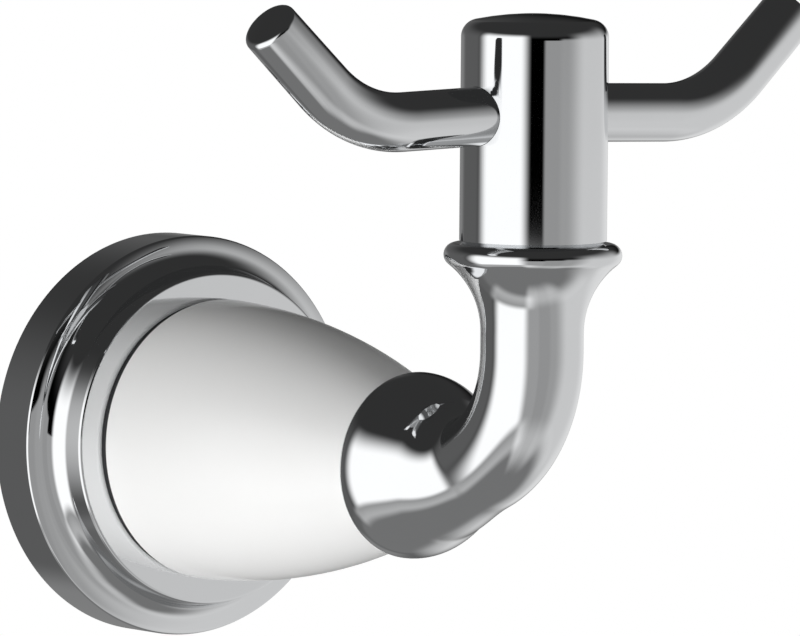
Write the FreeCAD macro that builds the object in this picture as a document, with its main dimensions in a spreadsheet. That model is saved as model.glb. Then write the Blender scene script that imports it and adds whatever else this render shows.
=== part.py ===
import FreeCAD, Part
import os
import re
import Sketcher

# Double robe hook: a chromed rosette with a hidden wall plate, a hollow porcelain bell,
# a chromed elbow that flares at both ends, and an upright post with two bent prongs.
# Origin: centre of the back on the wall plane. X runs along the wall, +Y into it, +Z up.
# A distance from the wall is called out, a distance above the bell's axis is called up.

# Driving sizes, in millimetres and degrees
DIMS = {
    "rosette_diameter": 57.0,
    "rosette_edge_radius": 1.1,
    "rosette_shell": 2.8,
    "rosette_land": 0.6,
    "ring_cove_radius": 3.0,
    "ring_side_height": 1.0,
    "ring_edge_radius": 1.4,
    "ring_lip_width": 2.5,
    "spigot_height": 2.0,
    "spigot_clearance": 0.4,
    "hanger_rib_width": 12.0,
    "hanger_rib_setback": 0.6,
    "wall_plate_thickness": 4.5,
    "wall_plate_front_gap": 0.6,
    "wall_plate_edge_gap": 2.7,
    "wall_plate_flat_depth": 1.5,
    "wall_screw_hole_diameter": 4.5,
    "wall_screw_countersink": 1.6,
    "wall_screw_edge_distance": 7.5,
    "wall_plate_window_web": 5.0,
    "set_screw_diameter": 4.0,
    "set_screw_setback": 0.5,
    "set_screw_recess": 0.8,
    "set_screw_socket": 2.0,
    "set_screw_socket_depth": 1.8,
    "gasket_thickness": 0.5,
    "gasket_inset": 0.4,
    "bell_tip_diameter": 22.2,
    "bell_length": 43.7,
    "bell_curve_radius": 120.0,
    "bell_edge_radius": 0.8,
    "bell_wall": 4.0,
    "bell_tip_wall": 6.0,
    "stud_diameter": 6.0,
    "stud_hole_clearance": 0.6,
    "tie_stud_grip": 12.0,
    "tie_stud_end": 0.6,
    "tie_nut_across_flats": 10.0,
    "tie_nut_height": 3.2,
    "tie_washer_diameter": 14.0,
    "tie_washer_thickness": 1.0,
    "bulb_overhang": 1.8,
    "bulb_rim_radius": 1.5,
    "elbow_diameter": 14.0,
    "elbow_lead": 7.7,
    "elbow_bend_radius": 17.5,
    "elbow_neck_angle": 24.0,
    "elbow_riser": 2.7,
    "collar_overhang": 2.1,
    "collar_rim_radius": 1.6,
    "collar_flare_radius": 11.7,
    "bore_run_out": 0.8,
    "post_diameter": 20.0,
    "post_chamfer": 0.4,
    "post_crown_radius": 40.0,
    "post_edge_radius": 2.4,
    "post_head": 13.4,
    "post_stud_grip": 10.0,
    "prong_height": 17.7,
    "prong_diameter": 8.0,
    "prong_taper": 0.2,
    "prong_tip_edge": 0.8,
    "prong_seat_depth": 6.0,
    "prong_corner_reach": 30.4,
    "prong_arm_length": 20.4,
    "prong_bend_radius": 19.0,
    "prong_droop_angle": 1.6,
    "prong_rise_angle": 42.5,
}

FULL_TURN = 360
HALF_TURN = 180
QUARTER_TURN = 90
SAME_PLACE = 1e-4
NECK_STEPS = 4

doc = FreeCAD.newDocument("double_robe_hook")
sheet = doc.addObject("Spreadsheet::Sheet", "Dims")
for row, (alias, value) in enumerate(DIMS.items(), start=1):
    sheet.set(f"A{row}", alias)
    sheet.set(f"B{row}", str(value))
    sheet.setAlias(f"B{row}", alias)
doc.recompute()


# Radii about the bell's axis
ROSETTE = "(rosette_diameter / 2)"
CAVITY = f"({ROSETTE} - rosette_shell)"
PLATE = f"({CAVITY} - wall_plate_edge_gap)"
PLATE_FLAT = f"({PLATE} - wall_plate_flat_depth)"
SCREW_OFFSET = f"({PLATE_FLAT} - wall_screw_edge_distance)"
RING = f"({ROSETTE} - rosette_edge_radius - rosette_land - ring_cove_radius)"
RING_CAVITY = f"({RING} - rosette_shell)"
BELL = f"({RING} - ring_edge_radius - ring_lip_width)"
BELL_MOUTH = f"({BELL} - bell_wall)"
STUD_HOLE = "((stud_diameter + stud_hole_clearance) / 2)"
BELL_END = "(bell_tip_diameter / 2)"
BULB = f"({BELL_END} + bulb_overhang)"
TUBE = "(elbow_diameter / 2)"
COLLAR = "(post_diameter / 2 + collar_overhang)"

# Turn of an ogee: a convex and a hollow arc that step between two parallel lines
COLLAR_ARCS = "(collar_rim_radius + collar_flare_radius)"
COLLAR_TURN = f"acos(1 - ({COLLAR} - {TUBE}) / {COLLAR_ARCS})"

# Distances out from the wall
SET_SCREW_OUT = "(set_screw_setback + set_screw_diameter / 2)"
SHOULDER_BACK = "(wall_plate_thickness + wall_plate_front_gap)"
SHOULDER = f"({SHOULDER_BACK} + rosette_shell)"
RING_FACE = f"({SHOULDER} + ring_cove_radius + ring_side_height + ring_edge_radius)"
RING_BACK = f"({RING_FACE} - rosette_shell)"
WASHER_BACK = f"({RING_BACK} - tie_washer_thickness)"
NUT_BACK = f"({WASHER_BACK} - tie_nut_height)"
BELL_BASE = f"({RING_FACE} + gasket_thickness)"
BELL_TIP = f"({BELL_BASE} + bell_length)"
BULB_FACE = f"({BELL_TIP} + gasket_thickness)"
BULB_RIM = f"({BULB_FACE} + bulb_rim_radius)"
BEND_START = f"({BULB_RIM} + elbow_lead)"
POST_OUT = f"({BEND_START} + elbow_bend_radius)"

# Length of the elbow's neck, from the bulb's rim along the level lead and into the bend
NECK = f"(elbow_lead + elbow_bend_radius * elbow_neck_angle * pi / {HALF_TURN})"

# Heights up from the bell's axis
FLARE_START = "(elbow_bend_radius + elbow_riser)"
COLLAR_RIM = f"({FLARE_START} + {COLLAR_ARCS} * sin({COLLAR_TURN}))"
COLLAR_TOP = f"({COLLAR_RIM} + collar_rim_radius)"
PRONG_UP = f"({COLLAR_TOP} + prong_height)"

# Lengths along a prong, from the post's axis
PRONG_SEAT = "(post_diameter / 2 - prong_seat_depth)"
PRONG_TURN = "(prong_droop_angle + prong_rise_angle)"
BEND_TANGENT = f"(prong_bend_radius * tan({PRONG_TURN} / 2 * 1 deg))"
PRONG_BEND = f"(prong_corner_reach - {BEND_TANGENT})"
PRONG_TIP = "(prong_diameter / 2 - prong_taper / 2)"


def bound(text):
    """A size written with the sheet's names, as an expression that reads the sheet."""
    return re.sub(r"[a-z_]+", lambda word: f"Dims.{word[0]}" if word[0] in DIMS else word[0], text)


def size(text):
    """The present value of a size."""
    value = sheet.evalExpression(bound(text))
    return float(getattr(value, "Value", value))


def bind(item, **properties):
    """Tie properties of a feature to sizes."""
    for name, text in properties.items():
        item.setExpression(name, bound(text))


def piece(label):
    body = doc.addObject("PartDesign::Body", label)
    body.Label = label
    return body


def plane(body, role):
    return next(item for item in body.Origin.OriginFeatures if item.Role == role)


def attach(body, item, role, base=("0", "0", "0"), tilt="0"):
    """Set a feature on a plane of its body, moved by base and tilted about the plane's own X."""
    item.AttachmentSupport = [(plane(body, role), "")]
    item.MapMode = "FlatFace"
    start = FreeCAD.Vector(*(size(text) for text in base))
    lean = FreeCAD.Rotation(FreeCAD.Vector(1, 0, 0), size(tilt))
    item.AttachmentOffset = FreeCAD.Placement(start, lean)
    for axis, text in zip("xyz", base):
        item.setExpression(f"AttachmentOffset.Base.{axis}", bound(text))
    if tilt != "0":
        item.setExpression("AttachmentOffset.Rotation.Angle", bound(tilt))


def sketch_on(body, name, role, base=("0", "0", "0"), tilt="0"):
    sketch = body.newObject("Sketcher::SketchObject", name)
    attach(body, sketch, role, base, tilt)
    return sketch


def constrain(sketch, text, kind, *where):
    """Add a dimension that reads its value from the sheet."""
    index = sketch.addConstraint(Sketcher.Constraint(kind, *where, size(text)))
    sketch.setExpression(f"Constraints[{index}]", bound(text))


def pin(sketch, curve, end, place):
    """Hold a point of a curve at a place in the sketch."""
    for kind, axis, text in zip(("DistanceX", "DistanceY"), (-2, -1), place):
        if text == "0":
            sketch.addConstraint(Sketcher.Constraint("PointOnObject", curve, end, axis))
        else:
            constrain(sketch, text, kind, -1, 1, curve, end)


def arc_between(start, end, radius, left):
    """Arc from start to end that turns to the left or to the right."""
    chord = end - start
    side = FreeCAD.Vector(-chord.y, chord.x, 0).normalize()
    rise = max(radius ** 2 - (chord.Length / 2) ** 2, 0) ** 0.5
    centre = (start + end) / 2 + side * (rise if left else -rise)
    middle = centre + side * (-radius if left else radius)
    return Part.Arc(start, middle, end) if left else Part.Arc(end, middle, start)


def outline(sketch, corners):
    """Closed outline through corners (x, y). A third and a fourth value make the run that
    arrives at a corner an arc of that radius that turns left or right."""
    spots = [FreeCAD.Vector(size(corner[0]), size(corner[1]), 0) for corner in corners]
    ends = []
    for index, corner in enumerate(corners):
        start, end = spots[index - 1], spots[index]
        if len(corner) == 2:
            curve = sketch.addGeometry(Part.LineSegment(start, end))
            ends.append((curve, 1, 2))
        else:
            left = corner[3] == "left"
            curve = sketch.addGeometry(arc_between(start, end, size(corner[2]), left))
            constrain(sketch, corner[2], "Radius", curve)
            ends.append((curve, 1, 2) if left else (curve, 2, 1))
    for index, corner in enumerate(corners):
        curve, _, last = ends[index]
        following, first, _ = ends[(index + 1) % len(ends)]
        pin(sketch, curve, last, corner[:2])
        sketch.addConstraint(Sketcher.Constraint("Coincident", curve, last, following, first))


def circle(sketch, place, diameter):
    centre = FreeCAD.Vector(size(place[0]), size(place[1]), 0)
    curve = sketch.addGeometry(Part.Circle(centre, FreeCAD.Vector(0, 0, 1), size(diameter) / 2))
    pin(sketch, curve, 3, place)
    constrain(sketch, diameter, "Diameter", curve)


def axis_line(sketch, start, end):
    """Construction line to turn a profile about."""
    spots = [FreeCAD.Vector(size(place[0]), size(place[1]), 0) for place in (start, end)]
    curve = sketch.addGeometry(Part.LineSegment(*spots), True)
    pin(sketch, curve, 1, start)
    pin(sketch, curve, 2, end)


def turn(body, name, corners, axis="V_Axis"):
    """Revolve a closed half profile all the way round."""
    sketch = sketch_on(body, f"{name}_profile", "XZ_Plane")
    outline(sketch, corners)
    revolve(body, name, sketch, axis)


def revolve(body, name, sketch, axis, angle=FULL_TURN, reverse=False):
    solid = body.newObject("PartDesign::Revolution", name)
    solid.Profile = sketch
    solid.ReferenceAxis = (sketch, [axis])
    solid.Angle = angle
    solid.Reversed = reverse
    doc.recompute()


def loft(body, name, sections):
    solid = body.newObject("PartDesign::AdditiveLoft", name)
    solid.Profile = sections[0]
    solid.Sections = sections[1:]
    doc.recompute()


def ring(body, name, outer, inner, low, high):
    """Plain ring about the body's own Z, between two radii and two heights."""
    turn(body, name, [(inner, low), (outer, low), (outer, high), (inner, high)])


def pad(body, name, sketch, length):
    solid = body.newObject("PartDesign::Pad", name)
    solid.Profile = sketch
    bind(solid, Length=length)
    doc.recompute()


def cut(body, name, sketch):
    """Pocket from the sketch right through what lies on the side that its normal points to."""
    pocket = body.newObject("PartDesign::Pocket", name)
    pocket.Profile = sketch
    pocket.Type = "ThroughAll"
    pocket.Reversed = True
    doc.recompute()
    return pocket


def primitive(body, kind, name, role, base, tilt="0", **sizes):
    """Cylinder, cone or prism on a plane of the body, with its sizes tied to the sheet."""
    solid = body.newObject(f"PartDesign::{kind}", name)
    attach(body, solid, role, base, tilt)
    bind(solid, **sizes)
    doc.recompute()
    return solid


def round_edges(body, name, kind, edges, **sizes):
    """Fillet or chamfer of edges of the body as it is so far."""
    base = body.Tip
    finish = body.newObject(f"PartDesign::{kind}", name)
    finish.Base = (base, edges)
    bind(finish, **sizes)
    doc.recompute()


def circles_at(body, test):
    """Names of the body's circular edges whose centre and radius pass a test."""
    return [
        f"Edge{index}"
        for index, edge in enumerate(body.Tip.Shape.Edges, start=1)
        if not edge.Degenerated
        and isinstance(edge.Curve, Part.Circle)
        and test(edge.Curve.Center, edge.Curve.Radius)
    ]


def near(first, second):
    return abs(first - second) < SAME_PLACE


def face_out(body):
    """Place a piece so that its own Z points out from the wall and its own Y points up."""
    rotation = FreeCAD.Rotation(FreeCAD.Vector(1, 0, 0), QUARTER_TURN)
    body.Placement = FreeCAD.Placement(FreeCAD.Vector(), rotation)


def stand(body, out, up, rotation=FreeCAD.Rotation()):
    """Place a piece at a distance out from the wall and a height, upright unless it is turned."""
    body.Placement = FreeCAD.Placement(FreeCAD.Vector(0, -size(out), size(up)), rotation)
    body.setExpression("Placement.Base.y", bound(f"-{out}"))
    body.setExpression("Placement.Base.z", bound(up))


def wall_plate():
    """Round plate with two flats and a window for the nut, screwed to the wall inside the rosette."""
    body = piece("wall_plate")
    face_out(body)
    half = f"sqrt({PLATE} ^ 2 - {PLATE_FLAT} ^ 2)"
    blank = sketch_on(body, "plate_outline", "XY_Plane")
    outline(blank, [
        (f"-{half}", f"-{PLATE_FLAT}", PLATE, "left"),
        (half, f"-{PLATE_FLAT}"),
        (half, PLATE_FLAT, PLATE, "left"),
        (f"-{half}", PLATE_FLAT),
    ])
    circle(blank, ("0", "0"), f"2 * ({SCREW_OFFSET} - wall_plate_window_web)")
    pad(body, "plate", blank, "wall_plate_thickness")
    holes = sketch_on(body, "screw_holes", "XY_Plane")
    for place in (SCREW_OFFSET, f"-{SCREW_OFFSET}"):
        circle(holes, ("0", place), "wall_screw_hole_diameter")
    cut(body, "screw_hole_cut", holes)
    front = size("wall_plate_thickness")
    offset = size(SCREW_OFFSET)
    mouths = circles_at(body, lambda centre, _: near(centre.z, front) and near(abs(centre.y), offset))
    round_edges(body, "countersinks", "Chamfer", mouths, Size="wall_screw_countersink")
    return body


def rosette():
    """Stepped rosette, hollow behind, with a spigot inside the bell's mouth and a rib
    that hangs on the wall plate's upper flat."""
    body = piece("rosette")
    face_out(body)
    spigot = f"{BELL_MOUTH} - spigot_clearance"
    turn(body, "shell", [
        (CAVITY, "0"),
        (ROSETTE, "0"),
        (ROSETTE, f"{SHOULDER} - rosette_edge_radius"),
        (f"{ROSETTE} - rosette_edge_radius", SHOULDER, "rosette_edge_radius", "left"),
        (f"{RING} + ring_cove_radius", SHOULDER),
        (RING, f"{SHOULDER} + ring_cove_radius", "ring_cove_radius", "right"),
        (RING, f"{RING_FACE} - ring_edge_radius"),
        (f"{RING} - ring_edge_radius", RING_FACE, "ring_edge_radius", "left"),
        (spigot, RING_FACE),
        (spigot, f"{RING_FACE} + spigot_height"),
        (STUD_HOLE, f"{RING_FACE} + spigot_height"),
        (STUD_HOLE, RING_BACK),
        (RING_CAVITY, RING_BACK),
        (RING_CAVITY, SHOULDER_BACK),
        (CAVITY, SHOULDER_BACK),
    ])
    rib = sketch_on(body, "hanger_rib_outline", "XY_Plane", ("0", "0", "hanger_rib_setback"))
    side = "hanger_rib_width / 2"
    root = f"{CAVITY} + rosette_shell / 2"
    outline(rib, [(f"-{side}", PLATE_FLAT), (side, PLATE_FLAT), (side, root), (f"-{side}", root)])
    pad(body, "hanger_rib", rib, f"{SHOULDER} - rosette_shell / 2 - hanger_rib_setback")
    hole = sketch_on(body, "set_screw_hole", "XZ_Plane")
    circle(hole, ("0", SET_SCREW_OUT), "set_screw_diameter")
    cut(body, "set_screw_hole_cut", hole)
    return body


def set_screw():
    """Socket set screw that clamps the rosette up against the wall plate's lower flat."""
    body = piece("set_screw")
    end = f"({ROSETTE} - set_screw_recess)"
    stand(body, SET_SCREW_OUT, f"-{end}")
    primitive(
        body, "AdditiveCylinder", "shank", "XY_Plane", ("0", "0", "0"),
        Radius="set_screw_diameter / 2", Height=f"{end} - {PLATE_FLAT}",
    )
    primitive(
        body, "SubtractivePrism", "socket", "XY_Plane", ("0", "0", "0"),
        Circumradius="set_screw_socket / sqrt(3)", Height="set_screw_socket_depth",
    )
    return body


def base_gasket():
    """Thin gasket under the bell's rim."""
    body = piece("base_gasket")
    face_out(body)
    ring(body, "gasket", f"{BELL} - gasket_inset", BELL_MOUTH, RING_FACE, BELL_BASE)
    return body


def porcelain_bell():
    """Hollow bell, open at its base, with a thick tip that the stud passes through."""
    body = piece("porcelain_bell")
    face_out(body)
    inner_tip = f"{BELL_TIP} - bell_tip_wall"
    turn(body, "bell", [
        (f"{BELL} - bell_edge_radius", BELL_BASE),
        (BELL, f"{BELL_BASE} + bell_edge_radius", "bell_edge_radius", "left"),
        (BELL_END, f"{BELL_TIP} - bell_edge_radius", "bell_curve_radius", "left"),
        (f"{BELL_END} - bell_edge_radius", BELL_TIP, "bell_edge_radius", "left"),
        (STUD_HOLE, BELL_TIP),
        (STUD_HOLE, inner_tip),
        (f"{BELL_END} - bell_wall", inner_tip),
        (BELL_MOUTH, BELL_BASE, "bell_curve_radius - bell_wall", "right"),
    ])
    return body


def tip_gasket():
    """Thin gasket between the bell's tip and the elbow."""
    body = piece("tip_gasket")
    face_out(body)
    outer = f"{BELL_END} - bell_edge_radius - gasket_inset"
    ring(body, "gasket", outer, STUD_HOLE, BELL_TIP, BULB_FACE)
    return body


def tie_stud():
    """Threaded stud that ties the elbow, the bell and the rosette together."""
    body = piece("tie_stud")
    face_out(body)
    back = f"({NUT_BACK} - tie_stud_end)"
    primitive(
        body, "AdditiveCylinder", "stud", "XY_Plane", ("0", "0", back),
        Radius="stud_diameter / 2", Height=f"{BULB_FACE} + tie_stud_grip - {back}",
    )
    return body


def tie_washer():
    """Washer under the tie nut, inside the rosette."""
    body = piece("tie_washer")
    face_out(body)
    ring(body, "washer", "tie_washer_diameter / 2", STUD_HOLE, WASHER_BACK, RING_BACK)
    return body


def tie_nut():
    """Hexagon nut on the stud's back end."""
    body = piece("tie_nut")
    face_out(body)
    primitive(
        body, "AdditivePrism", "hexagon", "XY_Plane", ("0", "0", NUT_BACK),
        Circumradius="tie_nut_across_flats / sqrt(3)", Height="tie_nut_height",
    )
    bore = sketch_on(body, "nut_bore", "XY_Plane", ("0", "0", NUT_BACK))
    circle(bore, ("0", "0"), "stud_diameter")
    cut(body, "nut_bore_cut", bore)
    return body


def neck_section(body, name, run, angle="0"):
    """Round section of the neck, so far along it, where the bend has turned by the angle."""
    swing = f"({angle} * 1 deg)"
    middle = (
        "0",
        f"elbow_bend_radius * (1 - cos{swing})",
        f"{BULB_RIM} + min({run}; elbow_lead) + elbow_bend_radius * sin{swing}",
    )
    section = sketch_on(body, name, "YZ_Plane", middle, f"-{angle}")
    share = f"cos({QUARTER_TURN} * {run} / {NECK} * 1 deg) ^ 2"
    circle(section, ("0", "0"), f"2 * ({TUBE} + ({BULB} - {TUBE}) * {share})")
    return section


def neck_sections(body):
    """Sections that narrow from the bulb to the tube, along the level lead and into the bend."""
    sections = []
    for step in range(NECK_STEPS):
        run = f"(elbow_lead * {step} / {NECK_STEPS})"
        sections.append(neck_section(body, f"lead_section_{step}", run))
    for step in range(NECK_STEPS + 1):
        angle = f"(elbow_neck_angle * {step} / {NECK_STEPS})"
        run = f"(elbow_lead + elbow_bend_radius * {angle} * pi / {HALF_TURN})"
        sections.append(neck_section(body, f"bend_section_{step}", run, angle))
    return sections


def elbow_arm():
    """Bulb, narrowing bent tube and flared collar in one casting, bored for a stud at each end."""
    body = piece("elbow_arm")
    rotation = FreeCAD.Rotation(FreeCAD.Vector(0, 0, 1), -QUARTER_TURN)
    body.Placement = FreeCAD.Placement(FreeCAD.Vector(), rotation)
    turn(body, "bulb", [
        (BULB_FACE, "0"),
        (BULB_RIM, "0"),
        (BULB_RIM, BULB),
        (BULB_FACE, f"{BULB} - bulb_rim_radius", "bulb_rim_radius", "left"),
    ], axis="H_Axis")
    sections = neck_sections(body)
    loft(body, "neck", sections)
    tube = sections[-1]
    axis_line(tube, ("0", "elbow_bend_radius"), (TUBE, "elbow_bend_radius"))
    rest = f"{QUARTER_TURN} - elbow_neck_angle"
    revolve(body, "bend", tube, "Axis0", angle=size(rest), reverse=True)
    bind(body.Tip, Angle=rest)
    flare = sketch_on(body, "collar_profile", "XZ_Plane")
    rim = f"{POST_OUT} + {COLLAR}"
    outline(flare, [
        (POST_OUT, "elbow_bend_radius"),
        (f"{POST_OUT} + {TUBE}", "elbow_bend_radius"),
        (f"{POST_OUT} + {TUBE}", FLARE_START),
        (
            f"{rim} - collar_rim_radius * (1 - cos({COLLAR_TURN}))",
            f"{COLLAR_RIM} - collar_rim_radius * sin({COLLAR_TURN})",
            "collar_flare_radius", "right",
        ),
        (rim, COLLAR_RIM, "collar_rim_radius", "left"),
        (f"{rim} - collar_rim_radius", COLLAR_TOP, "collar_rim_radius", "left"),
        (POST_OUT, COLLAR_TOP),
    ])
    axis_line(flare, (POST_OUT, "elbow_bend_radius"), (POST_OUT, COLLAR_TOP))
    revolve(body, "collar", flare, "Axis0")
    primitive(
        body, "SubtractiveCylinder", "tie_bore", "YZ_Plane", ("0", "0", BULB_FACE),
        Radius="stud_diameter / 2", Height="tie_stud_grip + bore_run_out",
    )
    post_bore_foot = f"{COLLAR_TOP} - post_stud_grip - bore_run_out"
    primitive(
        body, "SubtractiveCylinder", "post_bore", "XY_Plane", (POST_OUT, "0", post_bore_foot),
        Radius="stud_diameter / 2", Height="post_stud_grip + bore_run_out",
    )
    return body


def post_stud():
    """Threaded stud between the collar and the post."""
    body = piece("post_stud")
    stand(body, POST_OUT, f"{COLLAR_TOP} - post_stud_grip")
    primitive(
        body, "AdditiveCylinder", "stud", "XY_Plane", ("0", "0", "0"),
        Radius="stud_diameter / 2", Height="2 * post_stud_grip",
    )
    return body


def hook_post():
    """Upright post with a crowned top, bored below for its stud and on both sides for a prong."""
    body = piece("hook_post")
    stand(body, POST_OUT, COLLAR_TOP)
    radius = "post_diameter / 2"
    crown_drop = "(post_crown_radius - sqrt(post_crown_radius ^ 2 - (post_diameter / 2) ^ 2))"
    top = "(prong_height + post_head)"
    bore = "stud_diameter / 2"
    bore_end = "post_stud_grip + bore_run_out"
    turn(body, "post", [
        (bore, "0"),
        (f"{radius} - post_chamfer", "0"),
        (radius, "post_chamfer"),
        (radius, f"{top} - {crown_drop}"),
        ("0", top, "post_crown_radius", "left"),
        ("0", bore_end),
        (bore, bore_end),
    ])
    edge_height = size(f"{top} - {crown_drop}")
    edges = circles_at(body, lambda centre, _: near(centre.z, edge_height))
    round_edges(body, "crown_edge", "Fillet", edges, Radius="post_edge_radius")
    seat = (
        "0",
        f"prong_height - {PRONG_SEAT} * sin(prong_droop_angle * 1 deg)",
        f"{PRONG_SEAT} * cos(prong_droop_angle * 1 deg)",
    )
    socket = sketch_on(body, "prong_socket", "YZ_Plane", seat, "prong_droop_angle")
    circle(socket, ("0", "0"), "prong_diameter")
    right = cut(body, "prong_socket_cut", socket)
    left = body.newObject("PartDesign::Mirrored", "prong_socket_mirror")
    left.Originals = [right]
    left.MirrorPlane = (plane(body, "YZ_Plane"), [""])
    body.Tip = left
    doc.recompute()
    return body


def prong(label, heading):
    """Bent rod seated in the post: a straight root that droops a little, and a tapered arm."""
    body = piece(label)
    swing = FreeCAD.Rotation(FreeCAD.Vector(0, 0, 1), heading)
    droop = FreeCAD.Rotation(FreeCAD.Vector(0, 1, 0), size("prong_droop_angle"))
    stand(body, POST_OUT, PRONG_UP, swing.multiply(droop))
    primitive(
        body, "AdditiveCylinder", "root", "YZ_Plane", ("0", "0", PRONG_SEAT),
        Radius="prong_diameter / 2", Height=f"{PRONG_BEND} - {PRONG_SEAT}",
    )
    section = sketch_on(body, "bend_section", "YZ_Plane", ("0", "0", PRONG_BEND))
    circle(section, ("0", "0"), "prong_diameter")
    axis_line(section, ("0", "prong_bend_radius"), ("prong_diameter", "prong_bend_radius"))
    revolve(body, "bend", section, "Axis0", angle=size(PRONG_TURN), reverse=True)
    bind(body.Tip, Angle=PRONG_TURN)
    turn_angle = f"({PRONG_TURN} * 1 deg)"
    arm_foot = (
        "0",
        f"prong_bend_radius * (1 - cos{turn_angle})",
        f"{PRONG_BEND} + prong_bend_radius * sin{turn_angle}",
    )
    arm = f"prong_arm_length - {BEND_TANGENT}"
    primitive(
        body, "AdditiveCone", "arm", "YZ_Plane", arm_foot, f"-{PRONG_TURN}",
        Radius1="prong_diameter / 2", Radius2=PRONG_TIP, Height=arm,
    )
    tip = size(PRONG_TIP)
    edges = circles_at(body, lambda _, radius: near(radius, tip))
    round_edges(body, "tip_edge", "Fillet", edges, Radius="prong_tip_edge")
    return body


pieces = [
    wall_plate(),
    rosette(),
    set_screw(),
    base_gasket(),
    porcelain_bell(),
    tip_gasket(),
    tie_stud(),
    tie_washer(),
    tie_nut(),
    elbow_arm(),
    post_stud(),
    hook_post(),
    prong("right_prong", 0),
    prong("left_prong", HALF_TURN),
]
doc.recompute()

for item in doc.Objects:
    if "Invalid" in item.State or "Error" in item.State:
        raise RuntimeError(f"{item.Label} did not build: {item.State}")
for body in pieces:
    if body.Shape.isNull() or not body.Shape.isValid() or len(body.Shape.Solids) != 1:
        raise RuntimeError(f"{body.Label} is not one valid solid")

os.makedirs("parts", exist_ok=True)
for body in pieces:
    body.Shape.exportStep(f"parts/{body.Label}.step")
    box = body.Shape.BoundBox
    print(
        f"{body.Label}: {body.Shape.Volume:.0f} mm3, x {box.XMin:.2f} to {box.XMax:.2f},"
        f" y {box.YMin:.2f} to {box.YMax:.2f}, z {box.ZMin:.2f} to {box.ZMax:.2f}"
    )
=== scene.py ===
import math

import bmesh
import bpy
from bpy.props import FloatProperty, FloatVectorProperty, IntProperty, PointerProperty
from mathutils import Matrix, Vector


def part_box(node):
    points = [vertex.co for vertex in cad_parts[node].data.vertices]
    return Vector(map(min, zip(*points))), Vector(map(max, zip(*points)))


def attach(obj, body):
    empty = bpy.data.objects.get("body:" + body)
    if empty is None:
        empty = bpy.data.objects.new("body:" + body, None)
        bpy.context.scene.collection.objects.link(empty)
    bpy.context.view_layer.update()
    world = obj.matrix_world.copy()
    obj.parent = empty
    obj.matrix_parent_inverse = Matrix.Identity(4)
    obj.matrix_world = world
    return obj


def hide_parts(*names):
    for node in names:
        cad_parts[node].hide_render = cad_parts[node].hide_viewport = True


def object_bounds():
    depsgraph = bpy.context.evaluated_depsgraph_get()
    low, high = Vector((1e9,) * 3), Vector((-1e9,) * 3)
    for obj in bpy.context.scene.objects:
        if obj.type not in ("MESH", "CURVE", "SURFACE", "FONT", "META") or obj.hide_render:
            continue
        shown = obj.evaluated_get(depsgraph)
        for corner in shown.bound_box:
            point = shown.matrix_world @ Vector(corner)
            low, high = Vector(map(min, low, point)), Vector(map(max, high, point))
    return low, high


bl_info = {
    "name": "Double Robe Hook",
    "version": (1, 0, 0),
    "blender": (4, 5, 0),
    "location": "View3D > Sidebar > Robe Hook",
    "description": "Dresses a double robe hook in polished chrome and white porcelain",
    "category": "Object",
}

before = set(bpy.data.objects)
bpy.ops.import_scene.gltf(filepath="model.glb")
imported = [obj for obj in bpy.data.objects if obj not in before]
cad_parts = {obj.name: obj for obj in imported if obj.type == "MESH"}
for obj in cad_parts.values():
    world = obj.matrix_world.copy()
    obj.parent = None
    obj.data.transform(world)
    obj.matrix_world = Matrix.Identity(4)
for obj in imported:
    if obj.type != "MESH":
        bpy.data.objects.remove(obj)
CAD_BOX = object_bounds()
HOOK_MIDDLE = sum((Vector(corner) for corner in CAD_BOX), Vector()) / 2

MM = 0.001
ROOT = "root"
X_AXIS = Vector((1, 0, 0))
Y_AXIS = Vector((0, 1, 0))
Z_AXIS = Vector((0, 0, 1))
OUT = -Y_AXIS
ORIGIN = Vector((0, 0, 0))
LEFT = 1
RIGHT = -1

# Fineness of the meshes
WELD = 1e-6
ARC_STEP = math.radians(4)
LONGEST_STEP = 2.5 * MM
NECK_STEPS = 30
BEND_STEPS = 48
PRONG_SIDES = 96
PRONG_BEND_STEPS = 28
TIP_STEPS = 8
TIP_INSET = 0.06 * MM
THREAD_STEPS = 64
CARD_ROWS = 24
CARD_COLUMNS = 48
# A straight run gets a point this near to each end, which keeps it flat in the mirror,
# unless that distance is more than this share of the run.
HOLD = 0.1 * MM
HOLD_SHARE = 0.1

# Thread form, in shares of the pitch: depth, end of the root, start and end of the crest
THREAD_DEPTH = 0.54
ROOT_END = 0.25
CREST_START = 0.5625
CREST_END = 0.6875

# Distance between one light card and the next one behind it
CARD_STEP = 10 * MM

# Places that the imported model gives
ROSETTE_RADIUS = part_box("rosette")[1].x
RING_FACE = -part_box("base_gasket")[1].y
BELL_BASE = -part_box("base_gasket")[0].y
BELL_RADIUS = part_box("porcelain_bell")[1].x
BELL_TIP = -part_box("porcelain_bell")[0].y
BULB_FACE = -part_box("elbow_arm")[1].y
BULB_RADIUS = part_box("elbow_arm")[1].x
COLLAR_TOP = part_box("elbow_arm")[1].z
POST_OUT = -sum(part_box("post_stud"), Vector()).y / 2
COLLAR_RADIUS = -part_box("elbow_arm")[0].y - POST_OUT
POST_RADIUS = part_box("hook_post")[1].x
POST_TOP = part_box("hook_post")[1].z
STUD_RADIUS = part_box("post_stud")[1].x
STUD_BACK = -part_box("tie_stud")[1].y
STUD_FRONT = -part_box("tie_stud")[0].y
NUT_BACK = -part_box("tie_nut")[1].y
NUT_FRONT = -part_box("tie_nut")[0].y
NUT_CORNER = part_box("tie_nut")[1].x
SET_SCREW_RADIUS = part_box("set_screw")[1].x
SET_SCREW_LOW, SET_SCREW_HIGH = (corner.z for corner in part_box("set_screw"))
SET_SCREW_OUT = -sum(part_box("set_screw"), Vector()).y / 2
PLATE_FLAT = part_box("wall_plate")[1].z


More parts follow.
